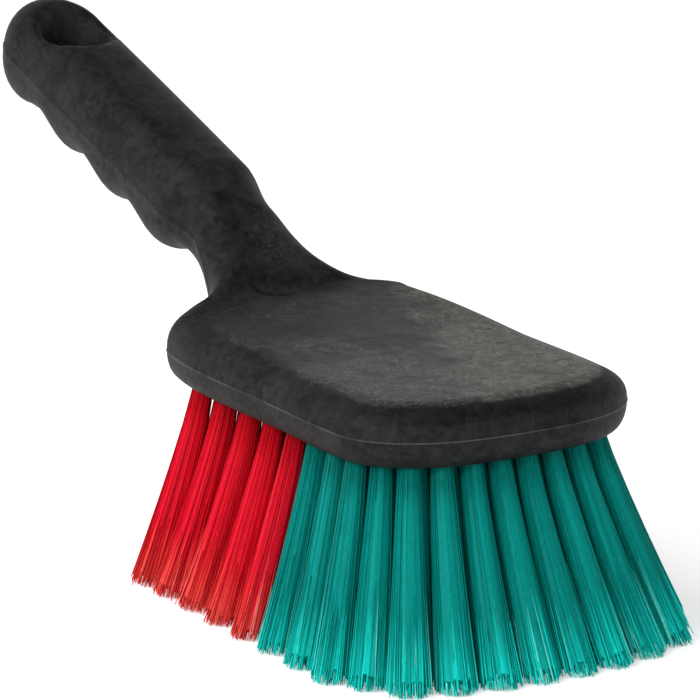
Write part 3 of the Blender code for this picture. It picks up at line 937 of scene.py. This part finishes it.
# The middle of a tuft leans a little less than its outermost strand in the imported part
LEAN_SHARE = 0.93
LEAN_POWER = 1.15
FAN_POWER = 0.9
ROOT_SINK = 0.0006

# The core of a tuft. Its length and thickness are shares of the tuft's own
CORE_SIDES = 44
CORE_RINGS = 10
CORE_SHARE = 0.985
CORE_FILL = 0.97
CORE_THINNING = 0.10
CORE_THINNING_POWER = 8.0
CORE_GROOVE = 0.38
CORE_END_RISE = 1.3
CORE_END_POWER = 30.0
CORE_SHADE_START = 0.84
# How far along its length the core's colour follows that of the filaments
CORE_COLOUR_SHARE = 0.90

# The filaments round the core. Each is turned by the golden angle from the last, so they spread evenly
FILAMENT_SIDES = 3
FILAMENT_RINGS = 6
GOLDEN_TURN = 2.399963
TUFT_TURN = 1.7
INNERMOST = 0.62
SHORT_POWER = 2.2
SPLIT_STARTS = (0.50, 0.76)
JITTER = 0.05
TIP_TAPER = 0.10
TIP_POWER = 3.0
SPLIT_TAPER = 0.10

# Each kind of random draw has a number of its own
JITTER_DRAW, STRAY_DRAW, SHORT_DRAW, START_DRAW, TONE_DRAW, CORE_TONE_DRAW = 1, 2, 4, 5, 6, 7


class TuftGraph(Graph):
    """The steps that a tuft's filaments and its core share."""

    def __init__(self, tree):
        super().__init__(tree)
        self.given = self.add("NodeGroupInput").outputs

    def named(self, name, kind="FLOAT"):
        return self.made("GeometryNodeInputNamedAttribute", {"Name": name}, data_type=kind)

    def store(self, geometry, name, value, kind="FLOAT"):
        given = {"Geometry": geometry, "Name": name, "Value": value}
        return self.made("GeometryNodeStoreNamedAttribute", given, data_type=kind, domain="POINT")

    def chance(self, draw, number, low=0.0, high=1.0, kind="FLOAT"):
        """A random value that is the same for one tuft and number in every run."""
        number = self.plus(self.times(self.named("tuft"), TUFT_NUMBERS), number)
        values = {"Min": low, "Max": high, "ID": number, "Seed": self.plus(self.given["Seed"], draw)}
        return self.made("FunctionNodeRandomValue", values, data_type=kind)

    def spread(self, draw, number, reach):
        """A random shift of up to this reach, level with the block."""
        return self.chance(draw, number, (-reach, -reach, 0.0), (reach, reach, 0.0), "FLOAT_VECTOR")

    def strands(self, points, count):
        """A line of this many points at each point given."""
        line = self.made("GeometryNodeCurvePrimitiveLine")
        line = self.made("GeometryNodeResampleCurve", {"Curve": line, "Count": count})
        lines = self.made("GeometryNodeInstanceOnPoints", {"Points": points, "Instance": line})
        return self.made("GeometryNodeRealizeInstances", {"Geometry": lines})

    def factor(self):
        """How far along its line a point is, from 0 to 1."""
        return self.add("GeometryNodeSplineParameter").outputs["Factor"]

    def radius(self):
        """The tuft's radius at the place along it."""
        wider = self.less(self.given["Tip Radius"], self.given["Root Radius"])
        return self.plus(self.given["Root Radius"], self.times(wider, self.along(FAN_POWER)))

    def along(self, exponent):
        return self.calc("POWER", self.named("along"), exponent)

    def thinner(self, share, by):
        """What is left of a thickness that a share of 1 makes thinner by this much."""
        return self.less(1.0, self.times(share, by))

    def tubes(self, lines, length, sides, thickness, *offsets):
        """Lays lines along their tufts, off the middle by the offsets, and gives them their thickness."""
        fall = self.times(length, self.named("along"))
        lean = self.vector("SCALE", self.named("lean", "FLOAT_VECTOR"), self.along(LEAN_POWER))
        path = self.vector("ADD", self.named("root", "FLOAT_VECTOR"), lean)
        for offset in (self.vector("SCALE", (0.0, 0.0, -1.0), fall), *offsets):
            path = self.vector("ADD", path, offset)
        lines = self.made("GeometryNodeSetPosition", {"Geometry": lines, "Position": path})
        circle = self.made("GeometryNodeCurvePrimitiveCircle", {"Resolution": sides, "Radius": 1.0})
        tube = {"Curve": lines, "Profile Curve": circle, "Scale": thickness, "Fill Caps": True}
        tubes = self.made("GeometryNodeCurveToMesh", tube)
        return self.made("GeometryNodeSetShadeSmooth", {"Geometry": tubes})

    def core(self, points):
        """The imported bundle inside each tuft, with a groove and a tone for each filament around it."""
        lines = self.strands(points, CORE_RINGS)
        lines = self.store(lines, "along", self.times(self.factor(), CORE_SHARE))
        fill = self.less(CORE_FILL, self.times(self.along(CORE_THINNING_POWER), CORE_THINNING))
        tubes = self.tubes(lines, self.given["Length"], CORE_SIDES, self.times(self.radius(), fill))
        side = self.calc("MODULO", self.made("GeometryNodeInputIndex"), float(CORE_SIDES))
        tubes = self.store(tubes, "tone", self.chance(CORE_TONE_DRAW, side))
        depth = self.times(self.given["Thickness"], CORE_GROOVE)
        sunk = self.times(self.less(self.named("tone"), 1.0), depth)
        groove = self.vector("SCALE", self.made("GeometryNodeInputNormal"), sunk)
        uneven = self.times(self.named("tone"), self.times(self.along(CORE_END_POWER), CORE_END_RISE))
        rise = self.vector("SCALE", (0.0, 0.0, 1.0), self.times(uneven, self.given["Ragged Ends"]))
        moved = {"Geometry": tubes, "Offset": self.vector("ADD", groove, rise)}
        tubes = self.made("GeometryNodeSetPosition", moved)
        tubes = self.store(tubes, "shade", self.span(self.named("along"), CORE_SHADE_START, CORE_SHARE))
        return self.store(tubes, "along", self.times(self.named("along"), CORE_COLOUR_SHARE))

    def filaments(self, points):
        """The outer filaments, which run the tuft's whole length, and the split ends among them."""
        outer, ends = self.given["Filaments"], self.given["Split Ends"]
        copies = {"Geometry": points, "Amount": self.plus(outer, ends)}
        many = self.add("GeometryNodeDuplicateElements", copies, domain="POINT").outputs
        points, number = many["Geometry"], many["Duplicate Index"]
        split = self.calc("GREATER_THAN", self.plus(number, 0.5), outer)
        place = self.less(number, self.times(split, outer))
        share = self.calc("DIVIDE", self.plus(place, 0.5), self.mix(split, outer, ends, "FLOAT"))
        inner = self.times(self.less(1.0, split), INNERMOST)
        away = self.calc("SQRT", self.mix(share, inner, 1.0, "FLOAT"))
        turn = self.plus(self.times(place, GOLDEN_TURN), self.times(self.named("tuft"), TUFT_TURN))
        ring = self.made("ShaderNodeCombineXYZ", {0: self.calc("COSINE", turn), 1: self.calc("SINE", turn)})
        disc = self.vector("ADD", self.vector("SCALE", ring, away), self.spread(JITTER_DRAW, number, JITTER))
        wander = self.times(self.given["Wander"], self.plus(split, 1.0))
        stray = self.vector("SCALE", self.spread(STRAY_DRAW, number, 1.0), wander)
        short = self.calc("POWER", self.chance(SHORT_DRAW, number), SHORT_POWER)
        kept = (
            ("disc", "FLOAT_VECTOR", disc),
            ("stray", "FLOAT_VECTOR", stray),
            ("short", "FLOAT", self.times(short, self.given["Ragged Ends"])),
            ("begin", "FLOAT", self.times(split, self.chance(START_DRAW, number, *SPLIT_STARTS))),
            ("split", "FLOAT", split),
            ("tone", "FLOAT", self.chance(TONE_DRAW, number)),
        )
        for name, kind, value in kept:
            points = self.store(points, name, value, kind)
        lines = self.strands(points, FILAMENT_RINGS)
        lines = self.store(lines, "along", self.mix(self.factor(), self.named("begin"), 1.0, "FLOAT"))
        taper = self.thinner(self.along(TIP_POWER), TIP_TAPER)
        finer = self.thinner(self.named("split"), SPLIT_TAPER)
        thickness = self.times(self.given["Thickness"], 0.5, taper, finer)
        length = self.less(self.given["Length"], self.named("short"))
        offsets = (
            self.vector("SCALE", self.named("disc", "FLOAT_VECTOR"), self.radius()),
            self.vector("SCALE", self.named("stray", "FLOAT_VECTOR"), self.along(TIP_POWER)),
        )
        tubes = self.tubes(lines, length, FILAMENT_SIDES, thickness, *offsets)
        return self.store(tubes, "loose", 1.0)


def tuft_tree():
    """The node tree that turns each point of a row into a bundle of tapering filaments with split ends."""
    tree = bpy.data.node_groups.new("Tuft bundles", "GeometryNodeTree")
    tree.interface.new_socket("Geometry", in_out="INPUT", socket_type="NodeSocketGeometry")
    kinds = {name: kind for name, (kind, _) in TUFT_SETTINGS.items()}
    for name, kind in {**kinds, **TUFT_FIXED}.items():
        tree.interface.new_socket(name, in_out="INPUT", socket_type=kind)
    tree.interface.new_socket("Geometry", in_out="OUTPUT", socket_type="NodeSocketGeometry")
    graph = TuftGraph(tree)
    position = graph.made("GeometryNodeInputPosition")
    points = graph.store(graph.given["Geometry"], "root", position, "FLOAT_VECTOR")
    joined = graph.add("GeometryNodeJoinGeometry")
    for piece in (graph.core(points), graph.filaments(points)):
        tree.links.new(piece, joined.inputs[0])
    tufts = joined.outputs[0]
    for name in ("root", "disc", "stray", "short", "begin", "split", "lean", "tuft"):
        tufts = graph.made("GeometryNodeRemoveAttribute", {"Geometry": tufts, "Name": name})
    tufts = graph.made("GeometryNodeRealizeInstances", {"Geometry": tufts})
    finish = {"Geometry": tufts, "Material": graph.given["Finish"]}
    graph.add("NodeGroupOutput", {"Geometry": graph.made("GeometryNodeSetMaterial", finish)})
    return tree


def tuft_points(name, row):
    """One point for each tuft of a row, just inside the block, with the tuft's number and lean."""
    spots = [(row_x(row, y), y) for y in tuft_ys(row)]
    mesh = bpy.data.meshes.new(name)
    height = -BLOCK_DEPTH + ROOT_SINK
    mesh.from_pydata([tuple(PLACE + Vector((x, y, height))) for x, y in spots], [], [])
    numbers = mesh.attributes.new("tuft", "FLOAT", "POINT")
    numbers.data.foreach_set("value", [float(row * ROW_NUMBERS + k) for k in range(len(spots))])
    leans = mesh.attributes.new("lean", "FLOAT_VECTOR", "POINT")
    leans.data.foreach_set("vector", LEAN_SHARE * np.array([lean(x, y) for x, y in spots]).ravel())
    return mesh


def make_tufts(tree, row, colour, material):
    """The bristles of one row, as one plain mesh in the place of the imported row."""
    settings = bpy.context.scene.wash_brush_bristles
    name = f"{colour}_bristles_{row + 1:02d}"
    obj = bpy.data.objects.new(name, tuft_points(name, row))
    bpy.context.scene.collection.objects.link(obj)
    modifier = obj.modifiers.new("Tuft bundles", "NODES")
    modifier.node_group = tree
    values = {name: getattr(settings, setting) for name, (_, setting) in TUFT_SETTINGS.items()}
    values.update({"Length": BRISTLE_LENGTH, "Seed": SEED, "Finish": material})
    for item in tree.interface.items_tree:
        if item.in_out == "INPUT" and item.name in values:
            modifier[item.identifier] = values[item.name]
    settle(obj)
    hand_over(obj, f"{colour}_bristle", f"{colour}_tuft_row_{row + 1:02d}")


def shared_tree():
    return bpy.data.node_groups.get("Tuft bundles") or tuft_tree()


# Operators, one for each piece or group of like pieces


class MakeMoulding(bpy.types.Operator):
    """Make the moulded block and handle"""

    bl_idname = "wash_brush.moulding"
    bl_label = "Block and handle"

    def execute(self, context):
        settings = context.scene.wash_brush_moulding
        points, faces = body_shell(settings.seam_width, settings.seam_height)
        body = new_object("moulded_block_and_handle", [Vector(p) + PLACE for p in points], faces)
        funnel = new_object("hanging_hole", *hole_shell())
        cut = body.modifiers.new("Hanging hole", "BOOLEAN")
        cut.operation = "DIFFERENCE"
        cut.object = funnel
        settle(body)
        bpy.data.objects.remove(funnel)
        round_the_lip(body.data, settings.lip_round)
        press_dent(body.data, settings.dent_depth)
        mark_seam(body.data)
        body.data.materials.clear()
        body.data.materials.append(moulding_material(settings))
        body.data.shade_smooth()
        hand_over(body, "black_moulding", "block_and_handle")
        return {"FINISHED"}


class MakeRedTufts(bpy.types.Operator):
    """Make the red tufts of the rear rows"""

    bl_idname = "wash_brush.red_tufts"
    bl_label = "Red tufts"

    def execute(self, context):
        settings = context.scene.wash_brush_bristles
        material = bristle_material("red_filament", settings.red_shaded_root, settings.red, settings.red_tip)
        for row in range(RED_ROWS):
            make_tufts(shared_tree(), row, "red", material)
        return {"FINISHED"}


class MakeGreenTufts(bpy.types.Operator):
    """Make the green tufts of the front rows"""

    bl_idname = "wash_brush.green_tufts"
    bl_label = "Green tufts"

    def execute(self, context):
        settings = context.scene.wash_brush_bristles
        material = bristle_material("green_filament", settings.green_shaded_root, settings.green, settings.green_tip)
        for row in range(RED_ROWS, ROW_COUNT):
            make_tufts(shared_tree(), row, "green", material)
        return {"FINISHED"}


class FinishAnchorWires(bpy.types.Operator):
    """Give the anchor wires inside the block their drawn steel"""

    bl_idname = "wash_brush.anchor_wires"
    bl_label = "Anchor wires"

    def execute(self, context):
        steel = steel_material()
        for row in range(ROW_COUNT):
            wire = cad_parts[f"anchor_wire_row_{row + 1:02d}"]
            wire.data.materials.clear()
            wire.data.materials.append(steel)
        return {"FINISHED"}


FLOOR_REACH = 4.0
# Each lamp's way from the block in the camera's own right, up and back, its distance and its size
KEY_LAMP = ((-0.75, 1.0, 0.45), 1.3, 0.9)
FILL_LAMP = ((-0.52, 0.34, 1.0), 1.5, 0.45)
SENSOR_WIDTH = 36.0
LENS_SHIFT = (-0.0880, 0.0461)
CLIP_RANGE = (0.05, 20.0)
# How high the room grows darker, as reflections see it, and how light it still is there
CEILING_FADE = (0.30, 0.75)
CEILING_LIGHT = 0.12


class MakeStudio(bpy.types.Operator):
    """Make the pale floor, the soft lamps and the camera"""

    bl_idname = "wash_brush.studio"
    bl_label = "Studio"

    def execute(self, context):
        settings = context.scene.wash_brush_studio
        scene = context.scene
        turns = ((1, -1, 0), (1, 1, 0), (-1, 1, 0), (-1, -1, 0))
        corners = [[FLOOR_REACH * side for side in turn] for turn in turns]
        mesh = bpy.data.meshes.new("floor")
        mesh.from_pydata(corners, [], [(0, 1, 2, 3)])
        mesh.materials.append(floor_material(settings.floor))
        floor = bpy.data.objects.new("floor", mesh)
        scene.collection.objects.link(floor)
        self.light_room(scene, settings)
        axes = self.directions(settings)
        self.hang_lamp("key_lamp", axes, KEY_LAMP, settings.key_power)
        self.hang_lamp("fill_lamp", axes, FILL_LAMP, settings.fill_power)
        self.place_camera(scene, settings, axes)
        scene.view_settings.view_transform = "Standard"
        return {"FINISHED"}

    @staticmethod
    def directions(settings):
        """The camera's own right, up and back."""
        a, e = settings.azimuth, settings.elevation
        back = Vector((math.sin(a) * math.cos(e), -math.cos(a) * math.cos(e), math.sin(e)))
        right = Vector((math.cos(a), math.sin(a), 0.0))
        return right, back.cross(right), back

    @staticmethod
    def light_room(scene, settings):
        """Even light from all sides, and white where the camera or a reflection looks past the floor."""
        world = bpy.data.worlds.new("room")
        world.use_nodes = True
        graph = Graph(world.node_tree)
        world.node_tree.nodes.clear()
        by_camera, seen = graph.seen()
        way = graph.add("ShaderNodeTexCoord").outputs["Generated"]
        ceiling = graph.span(graph.part(way, "Z"), *CEILING_FADE, 1.0, CEILING_LIGHT)
        shown = graph.calc("MAXIMUM", by_camera, ceiling)
        light = graph.made("ShaderNodeBackground", {"Color": WHITE, "Strength": settings.room_light})
        white = graph.made("ShaderNodeBackground", {"Color": WHITE, "Strength": shown})
        mixed = graph.made("ShaderNodeMixShader", {0: seen, 1: light, 2: white})
        graph.add("ShaderNodeOutputWorld", {"Surface": mixed})
        scene.world = world

    @staticmethod
    def hang_lamp(name, axes, kind, power):
        """A round soft lamp that faces the brush."""
        way, distance, size = kind
        toward = sum((axis * share for axis, share in zip(axes, way)), Vector())
        place = PLACE + toward.normalized() * distance
        lamp = bpy.data.lights.new(name, "AREA")
        lamp.shape = "DISK"
        lamp.size = size
        lamp.energy = power
        obj = bpy.data.objects.new(name, lamp)
        obj.location = place
        obj.rotation_euler = (PLACE - place).to_track_quat("-Z", "Y").to_euler()
        bpy.context.scene.collection.objects.link(obj)

    @staticmethod
    def place_camera(scene, settings, axes):
        data = bpy.data.cameras.new("camera")
        data.sensor_width = SENSOR_WIDTH
        data.lens = settings.lens
        data.shift_x, data.shift_y = LENS_SHIFT
        data.clip_start, data.clip_end = CLIP_RANGE
        camera = bpy.data.objects.new("camera", data)
        turn = Matrix(axes).transposed().to_4x4() @ Matrix.Rotation(settings.roll, 4, "Z")
        camera.matrix_world = Matrix.Translation(PLACE + axes[2] * settings.distance) @ turn
        scene.collection.objects.link(camera)
        scene.camera = camera


class WashBrushPanel(bpy.types.Panel):
    """Sizes, colours and the steps that make the brush"""

    bl_idname = "VIEW3D_PT_wash_brush"
    bl_label = "Wash brush"
    bl_space_type = "VIEW_3D"
    bl_region_type = "UI"
    bl_category = "Wash brush"

    def draw(self, context):
        for title, group, steps in PANEL_PARTS:
            box = self.layout.box()
            box.label(text=title)
            settings = getattr(context.scene, group)
            for name in settings.bl_rna.properties.keys():
                if name not in ("rna_type", "name"):
                    box.prop(settings, name)
            for step in steps:
                box.operator(step.bl_idname)


PANEL_PARTS = (
    ("Moulding", "wash_brush_moulding", (MakeMoulding,)),
    ("Bristles", "wash_brush_bristles", (MakeRedTufts, MakeGreenTufts, FinishAnchorWires)),
    ("Studio", "wash_brush_studio", (MakeStudio,)),
)
SETTINGS = {
    "wash_brush_moulding": MouldingSettings,
    "wash_brush_bristles": BristleSettings,
    "wash_brush_studio": StudioSettings,
}
CLASSES = (
    *SETTINGS.values(),
    MakeMoulding,
    MakeRedTufts,
    MakeGreenTufts,
    FinishAnchorWires,
    MakeStudio,
    WashBrushPanel,
)


def register():
    for kind in CLASSES:
        bpy.utils.register_class(kind)
    for name, kind in SETTINGS.items():
        setattr(bpy.types.Scene, name, PointerProperty(type=kind))


def unregister():
    for name in SETTINGS:
        delattr(bpy.types.Scene, name)
    for kind in reversed(CLASSES):
        bpy.utils.unregister_class(kind)


def main():
    register()
    bpy.ops.wash_brush.moulding()
    bpy.ops.wash_brush.red_tufts()
    bpy.ops.wash_brush.green_tufts()
    bpy.ops.wash_brush.anchor_wires()
    bpy.ops.wash_brush.studio()


if __name__ == "__main__":
    main()
